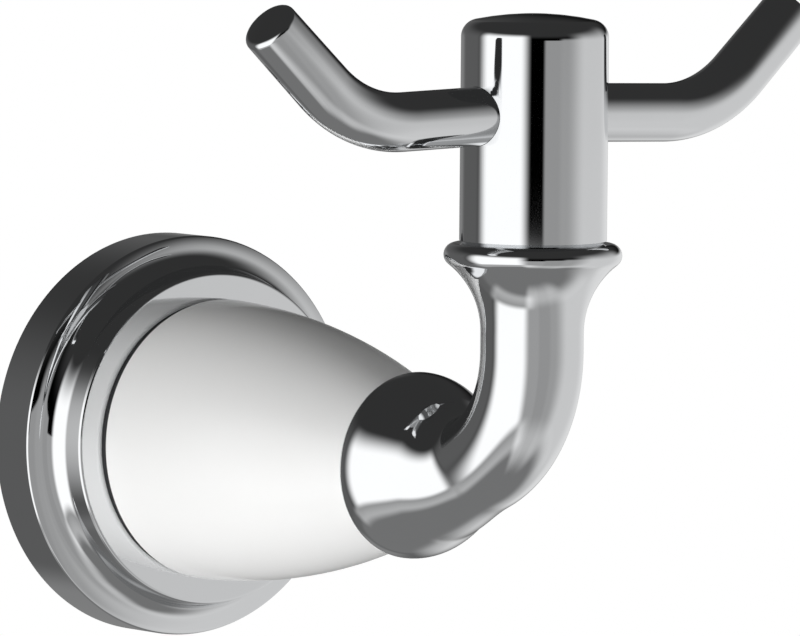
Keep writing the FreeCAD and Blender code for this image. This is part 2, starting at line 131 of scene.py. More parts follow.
def length(name, millimetres, description):
    """A size that a user may change, shown in the scene's length unit."""
    return FloatProperty(
        name=name, description=description, default=millimetres * MM, min=0, precision=5,
        subtype="DISTANCE", unit="LENGTH",
    )


def angle(name, degrees, description):
    return FloatProperty(
        name=name, description=description, default=math.radians(degrees),
        subtype="ANGLE", unit="ROTATION",
    )


def colour(name, value, description):
    return FloatVectorProperty(
        name=name, description=description, default=value, min=0, max=1, size=3, subtype="COLOR",
    )


def share(name, value, description):
    return FloatProperty(
        name=name, description=description, default=value, min=0, max=1, subtype="FACTOR",
    )


class RobeHookSizes(bpy.types.PropertyGroup):
    """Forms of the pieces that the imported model's corners don't give"""

    segments: IntProperty(
        name="Segments", description="Steps round a turned piece", default=192, min=24, max=512,
    )
    rosette_edge: length("Rosette edge", 0.4, "Round on the rosette's outer edge")
    rosette_shell: length("Rosette shell", 2.8, "Wall of the hollow rosette")
    shoulder: length("Shoulder", 7.9, "Height of the rosette's shoulder above the wall")
    shoulder_slope: angle("Shoulder slope", 8.0, "Slope of the swelling shoulder beside the cove")
    shoulder_fall: angle("Shoulder fall", 24.0, "Slope of the swelling shoulder at its outer edge")
    ring_inset: length("Ring inset", 4.7, "Distance of the raised ring's side from the rosette's side")
    ring_cove: length("Ring cove", 3.2, "Hollow round at the foot of the raised ring")
    ring_draft: angle("Ring draft", 10.0, "Lean of the raised ring's side")
    ring_edge: length("Ring edge", 0.5, "Round on the raised ring")
    spigot_height: length("Spigot height", 2.0, "Height of the spigot inside the bell's mouth")
    spigot_gap: length("Spigot gap", 0.4, "Clearance between the spigot and the bell")
    rib_width: length("Rib width", 12.0, "Width of the rib that hangs on the wall plate")
    rib_setback: length("Rib setback", 0.6, "Distance of the rib from the wall")
    stud_hole: length("Stud hole", 3.3, "Radius of the hole that the tie stud passes through")
    bell_tip: length("Bell tip", 11.1, "Radius of the bell at its small end")
    bell_curve: length("Bell curve", 120.0, "Radius of the bell's swelling side")
    bell_edge: length("Bell edge", 0.8, "Round on the bell's two rims")
    bell_wall: length("Bell wall", 4.0, "Thickness of the porcelain")
    bell_tip_wall: length("Bell tip wall", 6.0, "Thickness of the porcelain at the small end")
    bulb_rim: length("Bulb rim", 1.5, "Round where the bulb meets the bell")
    tube: length("Tube", 7.0, "Radius of the bent tube")
    bend_lead: length("Bend lead", 7.7, "Level run from the bulb's rim to the start of the bend")
    neck_turn: angle("Neck turn", 24.0, "Part of the bend in which the neck still narrows to the tube")
    bend: length("Bend", 17.5, "Radius of the bend at the middle of the tube")
    riser: length("Riser", 2.7, "Straight tube between the bend and the collar")
    collar_rim: length("Collar rim", 1.6, "Round on the collar's rim")
    collar_flare: length("Collar flare", 11.7, "Hollow sweep from the tube out to the collar")
    bore_depth: length("Bore depth", 12.8, "Depth of the tie stud's bore in the bulb")
    post_bore_depth: length("Post bore depth", 10.8, "Depth of the post stud's bores")
    post_chamfer: length("Post chamfer", 0.4, "Chamfer at the foot of the post")
    post_crown: length("Post crown", 40.0, "Radius of the domed top of the post")
    post_edge: length("Post edge", 2.4, "Round between the post's side and its dome")
    prong_height: length("Prong height", 17.7, "Height of the prongs above the collar")
    prong: length("Prong", 4.0, "Radius of a prong")
    prong_tip: length("Prong tip", 3.9, "Radius of a prong at its tip")
    prong_tip_edge: length("Prong tip edge", 0.8, "Round on the tip's edge")
    prong_seat: length("Prong seat", 4.0, "Distance from the post's axis to a prong's seat")
    prong_corner: length("Prong corner", 30.4, "Reach to the corner of a prong's bend")
    prong_arm: length("Prong arm", 20.4, "Length of the rising arm from that corner")
    prong_bend: length("Prong bend", 19.0, "Radius of a prong's bend")
    prong_gap: length("Prong gap", 0.04, "Seam between a prong and its socket")
    prong_droop: angle("Prong droop", 1.6, "Dip of a prong's root below the level")
    prong_rise: angle("Prong rise", 42.5, "Rise of a prong's arm above the level")
    stud_pitch: length("Stud pitch", 1.0, "Thread pitch of the tie stud")
    set_screw_pitch: length("Set screw pitch", 0.7, "Thread pitch of the set screw")
    set_screw_socket: length("Set screw socket", 2.0, "Width of the hexagon socket across its flats")
    set_screw_socket_depth: length("Set screw socket depth", 1.8, "Depth of the hexagon socket")


class RobeHookFinishes(bpy.types.PropertyGroup):
    """Colours and gloss of the finishes"""

    chrome: colour("Chrome", (0.80, 0.81, 0.82), "Tint of the polished chrome plate")
    chrome_roughness: share("Chrome roughness", 0.035, "Blur of the chrome's mirror")
    cast_roughness: share("Cast roughness", 0.32, "Blur of the unpolished inside of the rosette")
    cast_shade: share("Cast shade", 0.72, "Brightness of that inside against the polished chrome")
    porcelain: colour("Porcelain", (0.93, 0.93, 0.93), "Colour of the glazed bell")
    porcelain_roughness: share("Porcelain roughness", 0.28, "Blur of the bell's gloss")
    zinc: colour("Zinc", (0.62, 0.63, 0.65), "Colour of the plated steel")
    zinc_roughness: share("Zinc roughness", 0.38, "Blur of the plated steel")
    rubber: colour("Rubber", (0.03, 0.03, 0.032), "Colour of the gaskets")


class RobeHookStage(bpy.types.PropertyGroup):
    """Camera, light and floor"""

    azimuth: angle("Azimuth", -38.1, "Turn of the camera about the hook")
    elevation: angle("Elevation", 4.6, "Height of the camera above the level")
    roll: angle("Roll", 0.5, "Tilt of the camera about its own line of sight")
    distance: length("Distance", 1250.0, "Distance of the camera from its aim")
    focal: FloatProperty(
        name="Focal length", description="Lens of the camera", default=404.7, min=1,
        subtype="DISTANCE_CAMERA",
    )
    aim: FloatVectorProperty(
        name="Aim", description="Point that the camera looks at", size=3, subtype="XYZ", unit="LENGTH",
        default=(5.40 * MM, -48.79 * MM, 19.39 * MM),
    )
    floor_drop: length("Floor drop", 1080.0, "Depth of the floor below the hook's axis")
    floor_radius: length("Floor radius", 7000.0, "Radius of the round floor")
    card_radius: length("Card radius", 780.0, "Distance of the light cards from the hook")
    lamp_distance: length("Lamp distance", 700.0, "Distance of the lamps from the hook")
    lamp_width: length("Lamp width", 400.0, "Width of a lamp")
    floor: colour("Floor", (0.82, 0.82, 0.82), "Colour of the floor")
    floor_glow: share("Floor glow", 0.72, "Brightness that the eye sees beside the floor's shading")
    fill: share("Fill", 0.20, "Soft light from all round on matt surfaces")
    ceiling: share("Ceiling", 0.035, "Brightness of the ceiling of the dim room behind the light cards")
    ground: share("Ground", 0.20, "Brightness of the ground of that room")


class Outline:
    """A chain of edges in one plane, drawn from corner to corner, to be turned about an axis."""

    def __init__(self, bm, origin, along, across):
        self.bm = bm
        self.origin = origin
        self.along = along
        self.across = across
        self.axis = along.cross(across)
        self.verts = []

    def place(self, run, radius):
        return self.origin + self.along * run + self.across * radius

    def start(self, run, radius):
        self.verts = [self.bm.verts.new(self.place(run, radius))]

    def line(self, run, radius):
        """Straight run to a corner, with a point near each end of a long one to hold it flat."""
        start = self.verts[-1].co.copy()
        finish = self.place(run, radius)
        near = HOLD / max((finish - start).length, HOLD)
        marks = (near, 1 - near, 1) if near < HOLD_SHARE else (1,)
        for mark in marks:
            made = bmesh.ops.extrude_vert_indiv(self.bm, verts=[self.verts[-1]])
            self.verts += made["verts"]
            self.verts[-1].co = start.lerp(finish, mark)

    def arc(self, run, radius, curve, side):
        """Arc of radius curve to a corner, with its centre on the left or on the right."""
        start = self.verts[-1].co.copy()
        finish = self.place(run, radius)
        chord = finish - start
        inward = self.axis.cross(chord).normalized() * side
        rise = math.sqrt(max(curve ** 2 - (chord.length / 2) ** 2, 0))
        centre = (start + finish) / 2 + inward * rise
        turn = 2 * math.asin(min(chord.length / 2 / curve, 1)) * side
        steps = max(2, math.ceil(abs(turn) / ARC_STEP), math.ceil(chord.length / LONGEST_STEP))
        before = set(self.bm.verts)
        made = bmesh.ops.spin(
            self.bm, geom=[self.verts[-1]], cent=centre, axis=self.axis, angle=turn, steps=steps,
        )
        last = [item for item in made["geom_last"] if isinstance(item, bmesh.types.BMVert)][0]
        self.verts += [vert for vert in self.bm.verts if vert not in before and vert is not last]
        self.verts.append(last)

    def turn(self, segments):
        """Turn the chain all the way round the line through the origin that it was drawn along."""
        chain = set(self.verts)
        edges = [edge for edge in self.bm.edges if all(vert in chain for vert in edge.verts)]
        bmesh.ops.spin(
            self.bm, geom=self.verts + edges, cent=self.origin, axis=self.along,
            angle=math.tau, steps=segments, use_merge=True,
        )
        bmesh.ops.remove_doubles(self.bm, verts=self.bm.verts, dist=WELD)


def about_bell(bm):
    """Outline of a piece that is round about the bell's axis."""
    return Outline(bm, ORIGIN, OUT, Z_AXIS)


def about_post(bm):
    """Outline of a piece that is round about the post, with its heights measured from the bell's axis."""
    return Outline(bm, OUT * POST_OUT, Z_AXIS, Y_AXIS)


def sizes():
    return bpy.context.scene.robe_hook_sizes


def finishes():
    return bpy.context.scene.robe_hook_finishes


def stage():
    return bpy.context.scene.robe_hook_stage


def to_object(bm, name):
    """Close a bmesh into an object with outward faces."""
    bmesh.ops.remove_doubles(bm, verts=bm.verts, dist=WELD)
    bmesh.ops.recalc_face_normals(bm, faces=bm.faces)
    mesh = bpy.data.meshes.new(name)
    bm.to_mesh(mesh)
    bm.free()
    piece = bpy.data.objects.new(name, mesh)
    bpy.context.scene.collection.objects.link(piece)
    return piece


def combine(piece, tool, operation):
    """Cut, join or intersect a piece with a tool, which is used up."""
    step = piece.modifiers.new(operation.title(), "BOOLEAN")
    step.operation = operation
    step.object = tool
    step.solver = "EXACT"
    graph = bpy.context.evaluated_depsgraph_get()
    shaped = bpy.data.meshes.new_from_object(piece.evaluated_get(graph))
    piece.modifiers.clear()
    spent = piece.data
    piece.data = shaped
    shaped.name = spent.name
    bpy.data.meshes.remove(spent)
    bpy.data.meshes.remove(tool.data)


def shade(piece, limit=32):
    """Smooth faces, with sharp edges where two faces meet at more than the limit in degrees."""
    piece.data.shade_smooth()
    piece.data.set_sharp_from_angle(angle=math.radians(limit))


def fit(piece, slot, node, *materials):
    """Let a finished piece stand for its node and ride with the hook."""
    piece.data.materials.clear()
    for material in materials:
        piece.data.materials.append(material)
    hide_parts(node)
    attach(piece, ROOT)


def dress(node, material):
    """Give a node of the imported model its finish."""
    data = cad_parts[node].data
    data.materials.clear()
    data.materials.append(material)


def new_material(name):
    """An empty surface, with its node tree, its shader and its Object coordinates."""
    material = bpy.data.materials.get(name)
    if material:
        return material, None, None, None
    material = bpy.data.materials.new(name)
    material.use_nodes = True
    tree = material.node_tree
    tree.nodes.clear()
    output = tree.nodes.new("ShaderNodeOutputMaterial")
    shader = tree.nodes.new("ShaderNodeBsdfPrincipled")
    tree.links.new(shader.outputs["BSDF"], output.inputs["Surface"])
    place = tree.nodes.new("ShaderNodeTexCoord").outputs["Object"]
    return material, tree, shader, place


def noise(tree, place, scale, detail=4.0, roughness=0.55):
    node = tree.nodes.new("ShaderNodeTexNoise")
    node.inputs["Scale"].default_value = scale
    node.inputs["Detail"].default_value = detail
    node.inputs["Roughness"].default_value = roughness
    tree.links.new(place, node.inputs["Vector"])
    return node.outputs["Fac"]


def spread(tree, value, low, high, into):
    """Map a pattern of 0 to 1 on to a range of a shader's socket."""
    node = tree.nodes.new("ShaderNodeMapRange")
    node.inputs["To Min"].default_value = low
    node.inputs["To Max"].default_value = high
    tree.links.new(value, node.inputs["Value"])
    tree.links.new(node.outputs["Result"], into)


def tint(tree, value, base, depth, into):
    """Vary a colour a little, from darker to as it is."""
    ramp = tree.nodes.new("ShaderNodeValToRGB")
    ramp.color_ramp.elements[0].color = (*[channel * (1 - depth) for channel in base], 1)
    ramp.color_ramp.elements[1].color = (*base, 1)
    tree.links.new(value, ramp.inputs["Fac"])
    tree.links.new(ramp.outputs["Color"], into)


def bump(tree, height, strength, distance, into):
    node = tree.nodes.new("ShaderNodeBump")
    node.inputs["Strength"].default_value = strength
    node.inputs["Distance"].default_value = distance
    tree.links.new(height, node.inputs["Height"])
    tree.links.new(node.outputs["Normal"], into)


def polished_chrome():
    """Mirror chrome with faint haze and the slight waviness that polishing leaves."""
    material, tree, shader, place = new_material("polished_chrome")
    if tree:
        settings = finishes()
        shader.inputs["Metallic"].default_value = 1.0
        haze = noise(tree, place, scale=140.0)
        tint(tree, haze, settings.chrome, depth=0.03, into=shader.inputs["Base Color"])
        low = settings.chrome_roughness
        spread(tree, haze, low * 0.6, low * 1.4, shader.inputs["Roughness"])
        waves = noise(tree, place, scale=90.0, detail=1.0)
        bump(tree, waves, strength=0.04, distance=0.1 * MM, into=shader.inputs["Normal"])
    return material


def cast_plate():
    """The unpolished inside of the rosette: plate over a grainy casting."""
    material, tree, shader, place = new_material("cast_plate")
    if tree:
        settings = finishes()
        shader.inputs["Metallic"].default_value = 1.0
        grain = noise(tree, place, scale=1600.0, detail=6.0)
        clouds = noise(tree, place, scale=180.0)
        base = [settings.cast_shade * channel for channel in settings.chrome]
        tint(tree, clouds, base, depth=0.2, into=shader.inputs["Base Color"])
        low = settings.cast_roughness
        spread(tree, grain, low * 0.8, low * 1.3, shader.inputs["Roughness"])
        bump(tree, grain, strength=0.5, distance=0.05 * MM, into=shader.inputs["Normal"])
    return material


def white_porcelain():
    """White glaze, slightly uneven, over a smooth body."""
    material, tree, shader, place = new_material("white_porcelain")
    if tree:
        settings = finishes()
        cloud = noise(tree, place, scale=60.0)
        tint(tree, cloud, settings.porcelain, depth=0.015, into=shader.inputs["Base Color"])
        low = settings.porcelain_roughness
        spread(tree, cloud, low * 0.85, low * 1.15, shader.inputs["Roughness"])
        ripple = noise(tree, place, scale=220.0, detail=2.0)
        bump(tree, ripple, strength=0.03, distance=0.1 * MM, into=shader.inputs["Normal"])
    return material


def zinc_plate():
    """Dull zinc plate with a fine spangle."""
    material, tree, shader, place = new_material("zinc_plate")
    if tree:
        settings = finishes()
        shader.inputs["Metallic"].default_value = 1.0
        spangle = tree.nodes.new("ShaderNodeTexVoronoi")
        spangle.inputs["Scale"].default_value = 420.0
        tree.links.new(place, spangle.inputs["Vector"])
        cells = spangle.outputs["Distance"]
        tint(tree, cells, settings.zinc, depth=0.18, into=shader.inputs["Base Color"])
        low = settings.zinc_roughness
        haze = noise(tree, place, scale=900.0)
        spread(tree, haze, low * 0.75, low * 1.25, shader.inputs["Roughness"])
        grain = noise(tree, place, scale=2200.0)
        bump(tree, grain, strength=0.25, distance=0.03 * MM, into=shader.inputs["Normal"])
    return material


def gasket_rubber():
    """Matt black rubber with a fine grain."""
    material, tree, shader, place = new_material("gasket_rubber")
    if tree:
        grain = noise(tree, place, scale=2500.0)
        tint(tree, grain, finishes().rubber, depth=0.35, into=shader.inputs["Base Color"])
        spread(tree, grain, low=0.6, high=0.8, into=shader.inputs["Roughness"])
        bump(tree, grain, strength=0.3, distance=0.03 * MM, into=shader.inputs["Normal"])
    return material


def cylinder_tool(name, start, direction, radius, depth, segments=128):
    """A plain round cutter from a start point along a direction."""
    bm = bmesh.new()
    turn = direction.to_track_quat("Z", "Y").to_matrix().to_4x4()
    shift = Matrix.Translation(start + direction * depth / 2)
    bmesh.ops.create_cone(
        bm, cap_ends=True, segments=segments, radius1=radius, radius2=radius, depth=depth,
        matrix=shift @ turn,
    )
    return to_object(bm, name)


def rosette_mesh():
    size = sizes()
    shoulder_back = size.shoulder - size.rosette_shell
    ring_back = RING_FACE - size.rosette_shell
    cavity = ROSETTE_RADIUS - size.rosette_shell
    ring = ROSETTE_RADIUS - size.ring_inset
    ring_cavity = ring - size.rosette_shell
    slope = size.shoulder_slope
    fall = size.shoulder_fall
    draft = size.ring_draft
    cove_middle = size.shoulder + size.ring_cove
    cove_low = cove_middle - size.ring_cove * math.cos(slope)
    side_low = cove_middle - size.ring_cove * math.sin(draft)
    side_top = RING_FACE - size.ring_edge * (1 - math.sin(draft))
    side_out = ring + (RING_FACE - side_low) / 2 * math.tan(draft)
    side_in = side_out - (side_top - side_low) * math.tan(draft)
    cove_out = side_out + size.ring_cove * (math.cos(draft) - math.sin(slope))
    edge_out = ROSETTE_RADIUS - size.rosette_edge * (1 - math.sin(fall))
    swell = (edge_out - cove_out) / (math.sin(fall) - math.sin(slope))
    edge_high = cove_low - swell * (math.cos(slope) - math.cos(fall))
    spigot = BELL_RADIUS - size.bell_wall - size.spigot_gap
    bm = bmesh.new()
    shell = about_bell(bm)
    shell.start(0, cavity)
    shell.line(0, ROSETTE_RADIUS)
    shell.line(edge_high - size.rosette_edge * math.cos(fall), ROSETTE_RADIUS)
    shell.arc(edge_high, edge_out, size.rosette_edge, RIGHT)
    shell.arc(cove_low, cove_out, swell, RIGHT)
    shell.arc(side_low, side_out, size.ring_cove, LEFT)
    shell.line(side_top, side_in)
    shell.arc(RING_FACE, side_in - size.ring_edge * math.cos(draft), size.ring_edge, RIGHT)
    shell.line(RING_FACE, spigot)
    shell.line(RING_FACE + size.spigot_height, spigot)
    shell.line(RING_FACE + size.spigot_height, size.stud_hole)
    shell.line(ring_back, size.stud_hole)
    shell.line(ring_back, ring_cavity)
    shell.line(shoulder_back, ring_cavity)
    shell.line(shoulder_back, cavity)
    shell.line(0, cavity)
    shell.turn(size.segments)
    piece = to_object(bm, "rosette_shell")
    bm = bmesh.new()
    low = Vector((-size.rib_width / 2, -shoulder_back - size.rosette_shell / 2, PLATE_FLAT))
    high = Vector((size.rib_width / 2, -size.rib_setback, cavity + size.rosette_shell / 2))
    middle = (low + high) / 2
    extent = high - low
    bmesh.ops.create_cube(bm, size=1, matrix=Matrix.Translation(middle) @ Matrix.Diagonal((*extent, 1)))
    combine(piece, to_object(bm, "rib"), "UNION")
    hole_start = Vector((0, -SET_SCREW_OUT, -ROSETTE_RADIUS - size.rosette_shell))
    hole = cylinder_tool("set_screw_hole", hole_start, Z_AXIS, SET_SCREW_RADIUS, 3 * size.rosette_shell)
    combine(piece, hole, "DIFFERENCE")
    for face in piece.data.polygons:
        middle = face.center
        inside = Vector((middle.x, 0, middle.z)).length < cavity + WELD and -middle.y < RING_FACE - WELD
        face.material_index = 1 if inside else 0
    return piece


class ROBEHOOK_OT_rosette(bpy.types.Operator):
    """Stepped chrome rosette, hollow behind, with its rib and set screw hole"""

    bl_idname = "robe_hook.rosette"
    bl_label = "Rosette"

    def execute(self, context):
        piece = rosette_mesh()
        shade(piece)
        fit(piece, "chrome_plate", "rosette", polished_chrome(), cast_plate())
        return {"FINISHED"}


def bell_mesh():
    size = sizes()
    mouth = BELL_RADIUS - size.bell_wall
    inner_tip = BELL_TIP - size.bell_tip_wall
    bm = bmesh.new()
    wall = about_bell(bm)
    wall.start(BELL_BASE, mouth)
    wall.line(BELL_BASE, BELL_RADIUS - size.bell_edge)
    wall.arc(BELL_BASE + size.bell_edge, BELL_RADIUS, size.bell_edge, RIGHT)
    wall.arc(BELL_TIP - size.bell_edge, size.bell_tip, size.bell_curve, RIGHT)
    wall.arc(BELL_TIP, size.bell_tip - size.bell_edge, size.bell_edge, RIGHT)
    wall.line(BELL_TIP, size.stud_hole)
    wall.line(inner_tip, size.stud_hole)
    wall.line(inner_tip, size.bell_tip - size.bell_wall)
    wall.arc(BELL_BASE, mouth, size.bell_curve - size.bell_wall, LEFT)
    wall.turn(size.segments)
    return to_object(bm, "bell")


class ROBEHOOK_OT_bell(bpy.types.Operator):
    """Hollow porcelain bell between the rosette and the elbow"""

    bl_idname = "robe_hook.bell"
    bl_label = "Porcelain Bell"

    def execute(self, context):
        piece = bell_mesh()
        shade(piece)
        fit(piece, "white_porcelain", "porcelain_bell", white_porcelain())
        return {"FINISHED"}


def last_ring(made):
    """Edges of the ring that an operator has just made, for the next one."""
    return [item for item in made if isinstance(item, bmesh.types.BMEdge)]


def ring_verts(edges):
    return list({vert for edge in edges for vert in edge.verts})


def draw_out(bm, ring, shift, scale=1.0):
    """Extrude a ring of edges along a shift, and widen or narrow it."""
    made = bmesh.ops.extrude_edge_only(bm, edges=ring)
    fresh = set(made["geom"])
    ring = [edge for edge in last_ring(made["geom"]) if edge.is_boundary and fresh.issuperset(edge.verts)]
    verts = ring_verts(ring)
    middle = sum((vert.co for vert in verts), Vector()) / len(verts)
    bmesh.ops.scale(bm, vec=(scale,) * 3, space=Matrix.Translation(-middle), verts=verts)
    bmesh.ops.translate(bm, vec=shift, verts=verts)
    return ring


def cap(bm, ring, edge_round):
    """Close a ring with a flat end whose rim is rounded."""
    face = bmesh.ops.contextual_create(bm, geom=ring)["faces"][0]
    if edge_round:
        bmesh.ops.bevel(
            bm, geom=list(face.edges), offset=edge_round, offset_type="OFFSET", segments=TIP_STEPS,
            affect="EDGES", profile=0.5, material=-1, clamp_overlap=True,
        )
        flat = max(bm.faces, key=lambda item: len(item.verts))
        bmesh.ops.inset_region(bm, faces=[flat], thickness=TIP_INSET)


def ogee_turn(wide, narrow, first, second):
    """Turn of two arcs that step from one radius to another and end level."""
    return math.acos(1 - (wide - narrow) / (first + second))


def draw_neck(bm, ring, bend_start):
    """Narrow the bulb's open rim into the tube, along the level lead and into the bend."""
    size = sizes()
    neck = size.bend_lead + size.bend * size.neck_turn
    middle = Vector((0, -bend_start, size.bend))
    radius = BULB_RADIUS
    run = 0
    for step in range(1, NECK_STEPS + 1):
        reach = neck * step / NECK_STEPS
        narrow = size.tube + (BULB_RADIUS - size.tube) * math.cos(math.pi / 2 * step / NECK_STEPS) ** 2
        level = min(reach, size.bend_lead) - min(run, size.bend_lead)
        swing = (max(reach, size.bend_lead) - max(run, size.bend_lead)) / size.bend
        ring = draw_out(bm, ring, OUT * level, narrow / radius)
        bmesh.ops.rotate(
            bm, verts=ring_verts(ring), cent=middle, matrix=Matrix.Rotation(-swing, 3, "X"),
        )
        radius = narrow
        run = reach
    return ring


def elbow_mesh():
    size = sizes()
    bm = bmesh.new()
    rim = BULB_FACE + size.bulb_rim
    bend_start = rim + size.bend_lead
    bulb = about_bell(bm)
    bulb.start(BULB_FACE + size.bore_depth, 0)
    bulb.line(BULB_FACE + size.bore_depth, STUD_RADIUS)
    bulb.line(BULB_FACE, STUD_RADIUS)
    bulb.line(BULB_FACE, BULB_RADIUS - size.bulb_rim)
    bulb.arc(rim, BULB_RADIUS, size.bulb_rim, RIGHT)
    bulb.turn(size.segments)
    ring = draw_neck(bm, [edge for edge in bm.edges if edge.is_boundary], bend_start)
    bmesh.ops.spin(
        bm, geom=ring + ring_verts(ring), cent=(0, -bend_start, size.bend), axis=X_AXIS,
        angle=size.neck_turn - math.pi / 2, steps=BEND_STEPS,
    )
    turn = ogee_turn(COLLAR_RADIUS, size.tube, size.collar_rim, size.collar_flare)
    flare = size.bend + size.riser
    rim = COLLAR_TOP - size.collar_rim
    collar = about_post(bm)
    collar.start(size.bend, size.tube)
    collar.line(flare, size.tube)
    flare_end = COLLAR_RADIUS - size.collar_rim * (1 - math.cos(turn))
    collar.arc(rim - size.collar_rim * math.sin(turn), flare_end, size.collar_flare, LEFT)
    collar.arc(rim, COLLAR_RADIUS, size.collar_rim, RIGHT)
    collar.arc(COLLAR_TOP, COLLAR_RADIUS - size.collar_rim, size.collar_rim, RIGHT)
    collar.line(COLLAR_TOP, STUD_RADIUS)
    collar.line(COLLAR_TOP - size.post_bore_depth, STUD_RADIUS)
    collar.line(COLLAR_TOP - size.post_bore_depth, 0)
    collar.turn(size.segments)
    return to_object(bm, "elbow")


class ROBEHOOK_OT_elbow(bpy.types.Operator):
    """Chrome elbow: bulb, bent tube and flared collar in one casting"""

    bl_idname = "robe_hook.elbow"
    bl_label = "Elbow Arm"

    def execute(self, context):
        piece = elbow_mesh()
        shade(piece)
        fit(piece, "chrome_plate", "elbow_arm", polished_chrome())
        return {"FINISHED"}


def prong_heading(side):
    """Placement of a prong: its root's middle on the post's axis, dipped, and turned to its side."""
    size = sizes()
    place = Matrix.Translation((0, -POST_OUT, COLLAR_TOP + size.prong_height))
    swing = Matrix.Rotation(0 if side == "right" else math.pi, 4, "Z")
    dip = Matrix.Rotation(size.prong_droop, 4, "Y")
    return place @ swing @ dip


def post_mesh():
    size = sizes()
    bm = bmesh.new()
    post = about_post(bm)
    edge_radius = POST_RADIUS - size.post_edge
    crown_middle = POST_TOP - size.post_crown
    reach = size.post_crown - size.post_edge
    rise = math.sqrt(reach ** 2 - edge_radius ** 2)
    post.start(COLLAR_TOP + size.post_bore_depth, 0)
    post.line(COLLAR_TOP + size.post_bore_depth, STUD_RADIUS)
    post.line(COLLAR_TOP, STUD_RADIUS)
    post.line(COLLAR_TOP, POST_RADIUS - size.post_chamfer)
    post.line(COLLAR_TOP + size.post_chamfer, POST_RADIUS)
    post.line(crown_middle + rise, POST_RADIUS)
    scale = size.post_crown / reach
    post.arc(crown_middle + rise * scale, edge_radius * scale, size.post_edge, RIGHT)
    post.arc(POST_TOP, 0, size.post_crown, RIGHT)
    post.turn(size.segments)
    piece = to_object(bm, "post")
    for side in ("right", "left"):
        heading = prong_heading(side)
        direction = (heading.to_3x3() @ X_AXIS).normalized()
        start = heading.translation + direction * size.prong_seat
        radius = size.prong + size.prong_gap
        socket = cylinder_tool(f"{side}_socket", start, direction, radius, POST_RADIUS)
        combine(piece, socket, "DIFFERENCE")
    return piece


class ROBEHOOK_OT_post(bpy.types.Operator):
    """Upright chrome post with a domed top and a socket on each side"""

    bl_idname = "robe_hook.post"
    bl_label = "Hook Post"

    def execute(self, context):
        piece = post_mesh()
        shade(piece)
        fit(piece, "chrome_plate", "hook_post", polished_chrome())
        dress("post_stud", zinc_plate())
        return {"FINISHED"}


def prong_mesh(side):
    size = sizes()
    turn = size.prong_droop + size.prong_rise
    tangent = size.prong_bend * math.tan(turn / 2)
    bend_start = size.prong_corner - tangent
    bm = bmesh.new()
    upright = Matrix.Rotation(math.pi / 2, 4, "Y")
    made = bmesh.ops.create_circle(
        bm, cap_ends=False, segments=PRONG_SIDES, radius=size.prong,
        matrix=Matrix.Translation((size.prong_seat, 0, 0)) @ upright,
    )
    ring = list({edge for vert in made["verts"] for edge in vert.link_edges})
    foot = ring
    ring = draw_out(bm, ring, X_AXIS * (bend_start - size.prong_seat - HOLD))
    ring = draw_out(bm, ring, X_AXIS * HOLD)
    bent = bmesh.ops.spin(
        bm, geom=ring + ring_verts(ring), cent=(bend_start, 0, size.prong_bend), axis=Y_AXIS,
        angle=-turn, steps=PRONG_BEND_STEPS,
    )
    ring = last_ring(bent["geom_last"])
    direction = Vector((math.cos(turn), 0, math.sin(turn)))
    ring = draw_out(bm, ring, direction * HOLD)
    arm = size.prong_arm - tangent - HOLD
    ring = draw_out(bm, ring, direction * arm, size.prong_tip / size.prong)
    bmesh.ops.contextual_create(bm, geom=foot)
    cap(bm, ring, size.prong_tip_edge)
    bmesh.ops.transform(bm, matrix=prong_heading(side), verts=bm.verts)
    return to_object(bm, f"prong_{side}")


class ROBEHOOK_OT_prongs(bpy.types.Operator):
    """Two bent chrome prongs, seated in the post"""

    bl_idname = "robe_hook.prongs"
    bl_label = "Prongs"

    def execute(self, context):
        for side in ("right", "left"):
            piece = prong_mesh(side)
            shade(piece)
            fit(piece, "chrome_plate", f"{side}_prong", polished_chrome())
        return {"FINISHED"}


def thread_mesh(name, start, direction, radius, pitch, run):
    """Threaded rod from a start point along a direction, cut square at both ends."""
    root = radius - THREAD_DEPTH * pitch
    across = Z_AXIS if abs(direction.z) < 0.5 else Y_AXIS
    bm = bmesh.new()
    tooth = Outline(bm, start, direction, across)
    tooth.start(-2 * pitch, root)
    for count in range(-2, math.ceil(run / pitch) + 2):
        tooth.line((count + ROOT_END) * pitch, root)
        tooth.line((count + CREST_START) * pitch, radius)
        tooth.line((count + CREST_END) * pitch, radius)
        tooth.line((count + 1) * pitch, root)
    bmesh.ops.spin(
        bm, geom=bm.verts[:] + bm.edges[:], cent=start, axis=direction, angle=math.tau,
        steps=THREAD_STEPS, dvec=direction * pitch / THREAD_STEPS,
    )
    bmesh.ops.remove_doubles(bm, verts=bm.verts, dist=WELD)
    for end, outward in ((0, -direction), (run, direction)):
        bmesh.ops.bisect_plane(
            bm, geom=bm.verts[:] + bm.edges[:] + bm.faces[:], plane_co=start + direction * end,
            plane_no=outward, clear_outer=True,
        )
        bmesh.ops.holes_fill(bm, edges=[edge for edge in bm.edges if edge.is_boundary])
    return to_object(bm, name)


